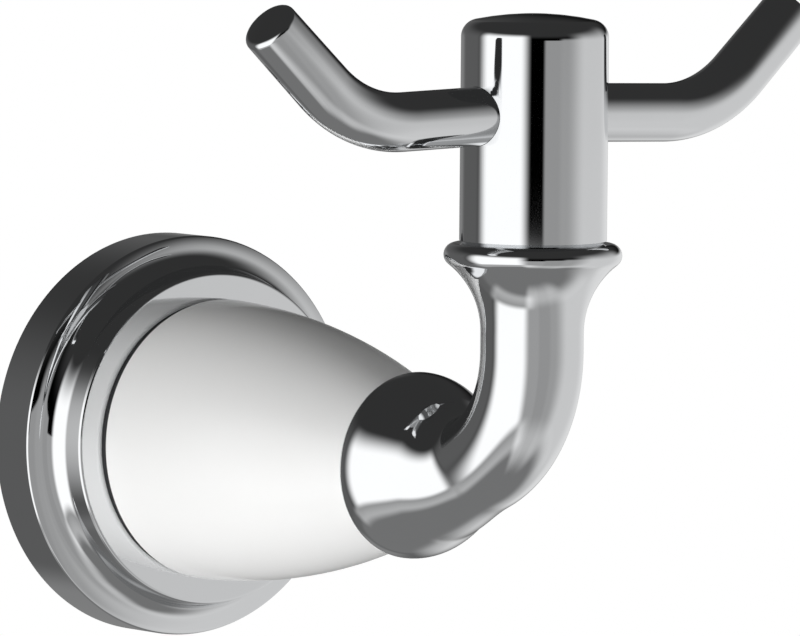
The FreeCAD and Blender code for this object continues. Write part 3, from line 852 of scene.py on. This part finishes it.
def nut_mesh():
    size = sizes()
    bm = bmesh.new()
    blank = about_bell(bm)
    flat = NUT_CORNER * math.cos(math.pi / 6)
    drop = (NUT_CORNER - flat) * math.tan(math.pi / 6)
    bore = STUD_RADIUS
    blank.start(NUT_BACK, bore)
    blank.line(NUT_BACK, flat)
    blank.line(NUT_BACK + drop, NUT_CORNER)
    blank.line(NUT_FRONT - drop, NUT_CORNER)
    blank.line(NUT_FRONT, flat)
    blank.line(NUT_FRONT, bore)
    blank.line(NUT_BACK, bore)
    blank.turn(size.segments)
    piece = to_object(bm, "nut")
    bm = bmesh.new()
    middle = Matrix.Translation(OUT * (NUT_BACK + NUT_FRONT) / 2)
    lie = Matrix.Rotation(math.pi / 2, 4, "X") @ Matrix.Rotation(math.pi / 2, 4, "Z")
    bmesh.ops.create_cone(
        bm, cap_ends=True, segments=6, radius1=NUT_CORNER, radius2=NUT_CORNER,
        depth=2 * (NUT_FRONT - NUT_BACK), matrix=middle @ lie,
    )
    combine(piece, to_object(bm, "hexagon"), "INTERSECT")
    return piece


class ROBEHOOK_OT_tie(bpy.types.Operator):
    """Threaded stud, washer and nut that pull the hook together"""

    bl_idname = "robe_hook.tie"
    bl_label = "Tie Stud"

    def execute(self, context):
        size = sizes()
        stud = thread_mesh(
            "stud", OUT * STUD_BACK, OUT, STUD_RADIUS, size.stud_pitch, STUD_FRONT - STUD_BACK,
        )
        shade(stud)
        fit(stud, "zinc_plated_steel", "tie_stud", zinc_plate())
        nut = nut_mesh()
        shade(nut, limit=20)
        fit(nut, "zinc_plated_steel", "tie_nut", zinc_plate())
        dress("tie_washer", zinc_plate())
        return {"FINISHED"}


def set_screw_mesh():
    size = sizes()
    start = Vector((0, -SET_SCREW_OUT, SET_SCREW_LOW))
    run = SET_SCREW_HIGH - SET_SCREW_LOW
    piece = thread_mesh("screw", start, Z_AXIS, SET_SCREW_RADIUS, size.set_screw_pitch, run)
    bm = bmesh.new()
    corner = size.set_screw_socket / math.sqrt(3)
    bmesh.ops.create_cone(
        bm, cap_ends=True, segments=6, radius1=corner, radius2=corner,
        depth=2 * size.set_screw_socket_depth, matrix=Matrix.Translation(start),
    )
    combine(piece, to_object(bm, "socket"), "DIFFERENCE")
    return piece


class ROBEHOOK_OT_wall_fixing(bpy.types.Operator):
    """Wall plate inside the rosette and the set screw that grips it"""

    bl_idname = "robe_hook.wall_fixing"
    bl_label = "Wall Fixing"

    def execute(self, context):
        dress("wall_plate", zinc_plate())
        screw = set_screw_mesh()
        shade(screw)
        fit(screw, "zinc_plated_steel", "set_screw", zinc_plate())
        return {"FINISHED"}


class ROBEHOOK_OT_gaskets(bpy.types.Operator):
    """Thin gaskets at the two ends of the bell"""

    bl_idname = "robe_hook.gaskets"
    bl_label = "Gaskets"

    def execute(self, context):
        for node in ("base_gasket", "tip_gasket"):
            dress(node, gasket_rubber())
        return {"FINISHED"}


# Light cards round the hook: name, azimuths from the camera, elevations and brightness.
# Each pair of angles at an edge says where the card is dark and where it is full, in degrees.
CARDS = (
    ("softbox", (-97, -75, -21, -3), (-44, -36, 12, 38), 1.25),
    ("softbox_foot", (-110, -90, -10, 15), (-62, -52, -44, -36), 0.32),
    ("front_low", (-21, -3, 13, 19), (-80, -58, -3.4, -2.7), 0.39),
    ("front_right", (13, 19, 36, 46), (-80, -58, 0.8, 2.5), 0.35),
    ("right_near", (36, 46, 50, 84), (-80, -58, -2, 14), 0.39),
    ("right", (50, 84, 120, 150), (-66, -40, -6, 42), 0.70),
    ("right_far", (120, 150, 162, 178), (-66, -30, 0, 12), 0.80),
    ("back", (162, 178, 206, 225), (-50, -40, 0, 12), 0.12),
    ("back_left", (176, 188, 257, 280), (-50, -40, 5, 40), 0.12),
)
# Elevations at which the ceiling and the ground of the dim room begin and are full
CEILING_EDGE = (6, 30)
GROUND_EDGE = (-38, -54)


def card_mesh(name, azimuths, elevations, radius):
    """Patch of a sphere about the hook."""
    low, high = (math.radians(value) for value in elevations)
    first, last = (stage().azimuth + math.radians(value) for value in azimuths)
    heading = Matrix.Rotation(first, 3, "Z")
    bm = bmesh.new()
    made = bm.verts.new(heading @ (OUT * math.cos(low) + Z_AXIS * math.sin(low)) * radius)
    bmesh.ops.spin(
        bm, geom=[made], cent=ORIGIN, axis=heading @ X_AXIS, angle=low - high, steps=CARD_ROWS,
    )
    bmesh.ops.spin(
        bm, geom=bm.verts[:] + bm.edges[:], cent=ORIGIN, axis=Z_AXIS, angle=last - first,
        steps=CARD_COLUMNS,
    )
    return to_object(bm, name)


def bare_material(name):
    """A material with nothing but its output."""
    material = bpy.data.materials.new(name)
    material.use_nodes = True
    tree = material.node_tree
    tree.nodes.clear()
    return material, tree, tree.nodes.new("ShaderNodeOutputMaterial").inputs["Surface"]


def work_out(tree, operation, first, second):
    """One step of arithmetic on a pattern's values."""
    node = tree.nodes.new("ShaderNodeMath")
    node.operation = operation
    for socket, value in zip(node.inputs, (first, second)):
        if isinstance(value, float):
            socket.default_value = value
        else:
            tree.links.new(value, socket)
    return node.outputs["Value"]


def fade(tree, value, dark, full):
    """Smooth step from 0 where the value is dark to 1 where it is full."""
    node = tree.nodes.new("ShaderNodeMapRange")
    node.interpolation_type = "SMOOTHSTEP"
    node.inputs["From Min"].default_value = math.radians(dark)
    node.inputs["From Max"].default_value = math.radians(full)
    tree.links.new(value, node.inputs["Value"])
    return node.outputs["Result"]


def bearing(tree, middle=0.0):
    """Azimuth and elevation of a point about the hook, the azimuth from the middle of a card."""
    turn = tree.nodes.new("ShaderNodeVectorRotate")
    turn.rotation_type = "Z_AXIS"
    turn.inputs["Angle"].default_value = -stage().azimuth - math.radians(middle)
    tree.links.new(tree.nodes.new("ShaderNodeTexCoord").outputs["Object"], turn.inputs["Vector"])
    parts = tree.nodes.new("ShaderNodeSeparateXYZ")
    tree.links.new(turn.outputs["Vector"], parts.inputs["Vector"])
    forward = work_out(tree, "MULTIPLY", parts.outputs["Y"], -1.0)
    azimuth = work_out(tree, "ARCTAN2", parts.outputs["X"], forward)
    across = work_out(tree, "MULTIPLY", parts.outputs["X"], parts.outputs["X"])
    along = work_out(tree, "MULTIPLY", parts.outputs["Y"], parts.outputs["Y"])
    reach = work_out(tree, "POWER", work_out(tree, "ADD", across, along), 0.5)
    return azimuth, work_out(tree, "ARCTAN2", parts.outputs["Z"], reach)


def glow(tree, strength):
    """Light of a strength that varies over the surface."""
    shader = tree.nodes.new("ShaderNodeEmission")
    tree.links.new(strength, shader.inputs["Strength"])
    return shader.outputs["Emission"]


def add_shaders(tree, first, second):
    both = tree.nodes.new("ShaderNodeAddShader")
    tree.links.new(first, both.inputs[0])
    tree.links.new(second, both.inputs[1])
    return both.outputs["Shader"]


def card_light(name, azimuths, elevations, level):
    """Glow that fades towards the card's edges, where what is behind the card shows through."""
    material, tree, surface = bare_material(name)
    middle = (azimuths[0] + azimuths[-1]) / 2
    azimuth, elevation = bearing(tree, middle)
    strength = level
    sides = [value - middle for value in azimuths]
    for value, (dark, full, full_end, dark_end) in ((azimuth, sides), (elevation, elevations)):
        for edge in ((dark, full), (dark_end, full_end)):
            strength = work_out(tree, "MULTIPLY", strength, fade(tree, value, *edge))
    clear = tree.nodes.new("ShaderNodeBsdfTransparent").outputs["BSDF"]
    tree.links.new(add_shaders(tree, glow(tree, strength), clear), surface)
    return material


def room_light():
    """Dim room: black round the middle, grey below and a trace of light above."""
    material, tree, surface = bare_material("dim_room_light")
    elevation = bearing(tree)[1]
    above = work_out(tree, "MULTIPLY", fade(tree, elevation, *CEILING_EDGE), stage().ceiling)
    below = work_out(tree, "MULTIPLY", fade(tree, elevation, *GROUND_EDGE), stage().ground)
    tree.links.new(glow(tree, work_out(tree, "ADD", above, below)), surface)
    return material


def only_in_metal(piece):
    """Let reflections alone show a piece of the stage."""
    piece.location = HOOK_MIDDLE
    piece.visible_camera = False
    piece.visible_diffuse = False
    piece.visible_shadow = False


def set_cards():
    """Cards one behind the other, inside a dim room."""
    radius = stage().card_radius
    for name, azimuths, elevations, level in CARDS:
        outer = (azimuths[0], azimuths[-1])
        card = card_mesh(name, outer, (elevations[0], elevations[-1]), radius)
        card.data.materials.append(card_light(f"{name}_light", azimuths, elevations, level))
        only_in_metal(card)
        radius += CARD_STEP
    bm = bmesh.new()
    bmesh.ops.create_icosphere(bm, subdivisions=5, radius=radius)
    room = to_object(bm, "dim_room")
    room.data.materials.append(room_light())
    only_in_metal(room)


# Soft lamps that polished metal doesn't show: name, azimuth from the camera, elevation and watts
LAMPS = (
    ("front_lamp", -45, -7, 3.5),
    ("low_lamp", -40, -72, 1.7),
    ("right_lamp", 100, -15, 3.0),
)


def set_lamps():
    """Soft lamps that light the porcelain and the floor and aren't seen in the chrome."""
    for name, azimuth, elevation, watts in LAMPS:
        data = bpy.data.lights.new(name, "AREA")
        data.energy = watts
        data.size = stage().lamp_width
        lamp = bpy.data.objects.new(name, data)
        bpy.context.scene.collection.objects.link(lamp)
        turn = Matrix.Rotation(stage().azimuth + math.radians(azimuth), 4, "Z")
        lift = Matrix.Rotation(math.radians(90 - elevation), 4, "X")
        shift = Matrix.Translation((0, 0, stage().lamp_distance))
        lamp.matrix_world = Matrix.Translation(HOOK_MIDDLE) @ turn @ lift @ shift
        lamp.visible_glossy = False


def seen(tree):
    """1 where the eye looks, straight or by way of metal or glass, and 0 for light on matt surfaces."""
    path = tree.nodes.new("ShaderNodeLightPath").outputs
    mirrored = work_out(tree, "MAXIMUM", path["Is Glossy Ray"], path["Is Transmission Ray"])
    return work_out(tree, "MAXIMUM", path["Is Camera Ray"], mirrored)


def floor_material():
    """Plain pale floor, which keeps its shading and looks light."""
    material, tree, surface = bare_material("pale_floor")
    matt = tree.nodes.new("ShaderNodeBsdfDiffuse")
    matt.inputs["Color"].default_value = (*stage().floor, 1)
    pale = glow(tree, work_out(tree, "MULTIPLY", seen(tree), stage().floor_glow))
    tree.links.new(add_shaders(tree, matt.outputs["BSDF"], pale), surface)
    return material


def set_floor():
    bm = bmesh.new()
    bmesh.ops.create_circle(
        bm, cap_ends=True, segments=128, radius=stage().floor_radius,
        matrix=Matrix.Translation((0, 0, -stage().floor_drop)),
    )
    floor = to_object(bm, "floor")
    floor.data.materials.append(floor_material())


def white_world():
    """White to the eye, and a soft fill on matt surfaces."""
    world = bpy.data.worlds.new("white_studio")
    world.use_nodes = True
    tree = world.node_tree
    background = tree.nodes["Background"].inputs
    background["Color"].default_value = (1, 1, 1, 1)
    spread(tree, seen(tree), stage().fill, 1.0, background["Strength"])
    bpy.context.scene.world = world


def aim_camera():
    settings = stage()
    data = bpy.data.cameras.new("photo_camera")
    data.lens = settings.focal
    data.sensor_width = 36
    data.clip_start = 0.05
    data.clip_end = 20
    camera = bpy.data.objects.new("photo_camera", data)
    bpy.context.scene.collection.objects.link(camera)
    turn = Matrix.Rotation(settings.azimuth, 4, "Z")
    lift = Matrix.Rotation(math.pi / 2 - settings.elevation, 4, "X")
    tilt = Matrix.Rotation(settings.roll, 4, "Z")
    facing = turn @ lift @ tilt
    back = facing.to_3x3() @ Z_AXIS
    camera.matrix_world = Matrix.Translation(Vector(settings.aim) + back * settings.distance) @ facing
    bpy.context.scene.camera = camera


class ROBEHOOK_OT_stage(bpy.types.Operator):
    """Camera, white studio, light cards and a pale floor"""

    bl_idname = "robe_hook.stage"
    bl_label = "Stage"

    def execute(self, context):
        context.scene.view_settings.view_transform = "Standard"
        white_world()
        set_cards()
        set_lamps()
        set_floor()
        aim_camera()
        return {"FINISHED"}


class ROBEHOOK_PT_sidebar(bpy.types.Panel):
    """Operators, sizes and finishes of the robe hook"""

    bl_idname = "ROBEHOOK_PT_sidebar"
    bl_label = "Robe Hook"
    bl_space_type = "VIEW_3D"
    bl_region_type = "UI"
    bl_category = "Robe Hook"

    def draw(self, context):
        layout = self.layout
        for operator in OPERATORS:
            layout.operator(operator.bl_idname)
        for settings in (sizes(), finishes(), stage()):
            column = layout.column(align=True)
            for name in settings.bl_rna.properties.keys():
                if name not in ("rna_type", "name"):
                    column.prop(settings, name)


GROUPS = {
    "robe_hook_sizes": RobeHookSizes,
    "robe_hook_finishes": RobeHookFinishes,
    "robe_hook_stage": RobeHookStage,
}
OPERATORS = (
    ROBEHOOK_OT_wall_fixing,
    ROBEHOOK_OT_rosette,
    ROBEHOOK_OT_gaskets,
    ROBEHOOK_OT_bell,
    ROBEHOOK_OT_tie,
    ROBEHOOK_OT_elbow,
    ROBEHOOK_OT_post,
    ROBEHOOK_OT_prongs,
    ROBEHOOK_OT_stage,
)
CLASSES = (*GROUPS.values(), *OPERATORS, ROBEHOOK_PT_sidebar)


def register():
    for item in CLASSES:
        bpy.utils.register_class(item)
    for name, group in GROUPS.items():
        setattr(bpy.types.Scene, name, PointerProperty(type=group))


def unregister():
    for name in GROUPS:
        delattr(bpy.types.Scene, name)
    for item in reversed(CLASSES):
        bpy.utils.unregister_class(item)


def main():
    register()
    for operator in OPERATORS:
        group, name = operator.bl_idname.split(".")
        getattr(getattr(bpy.ops, group), name)()


if __name__ == "__main__":
    main()
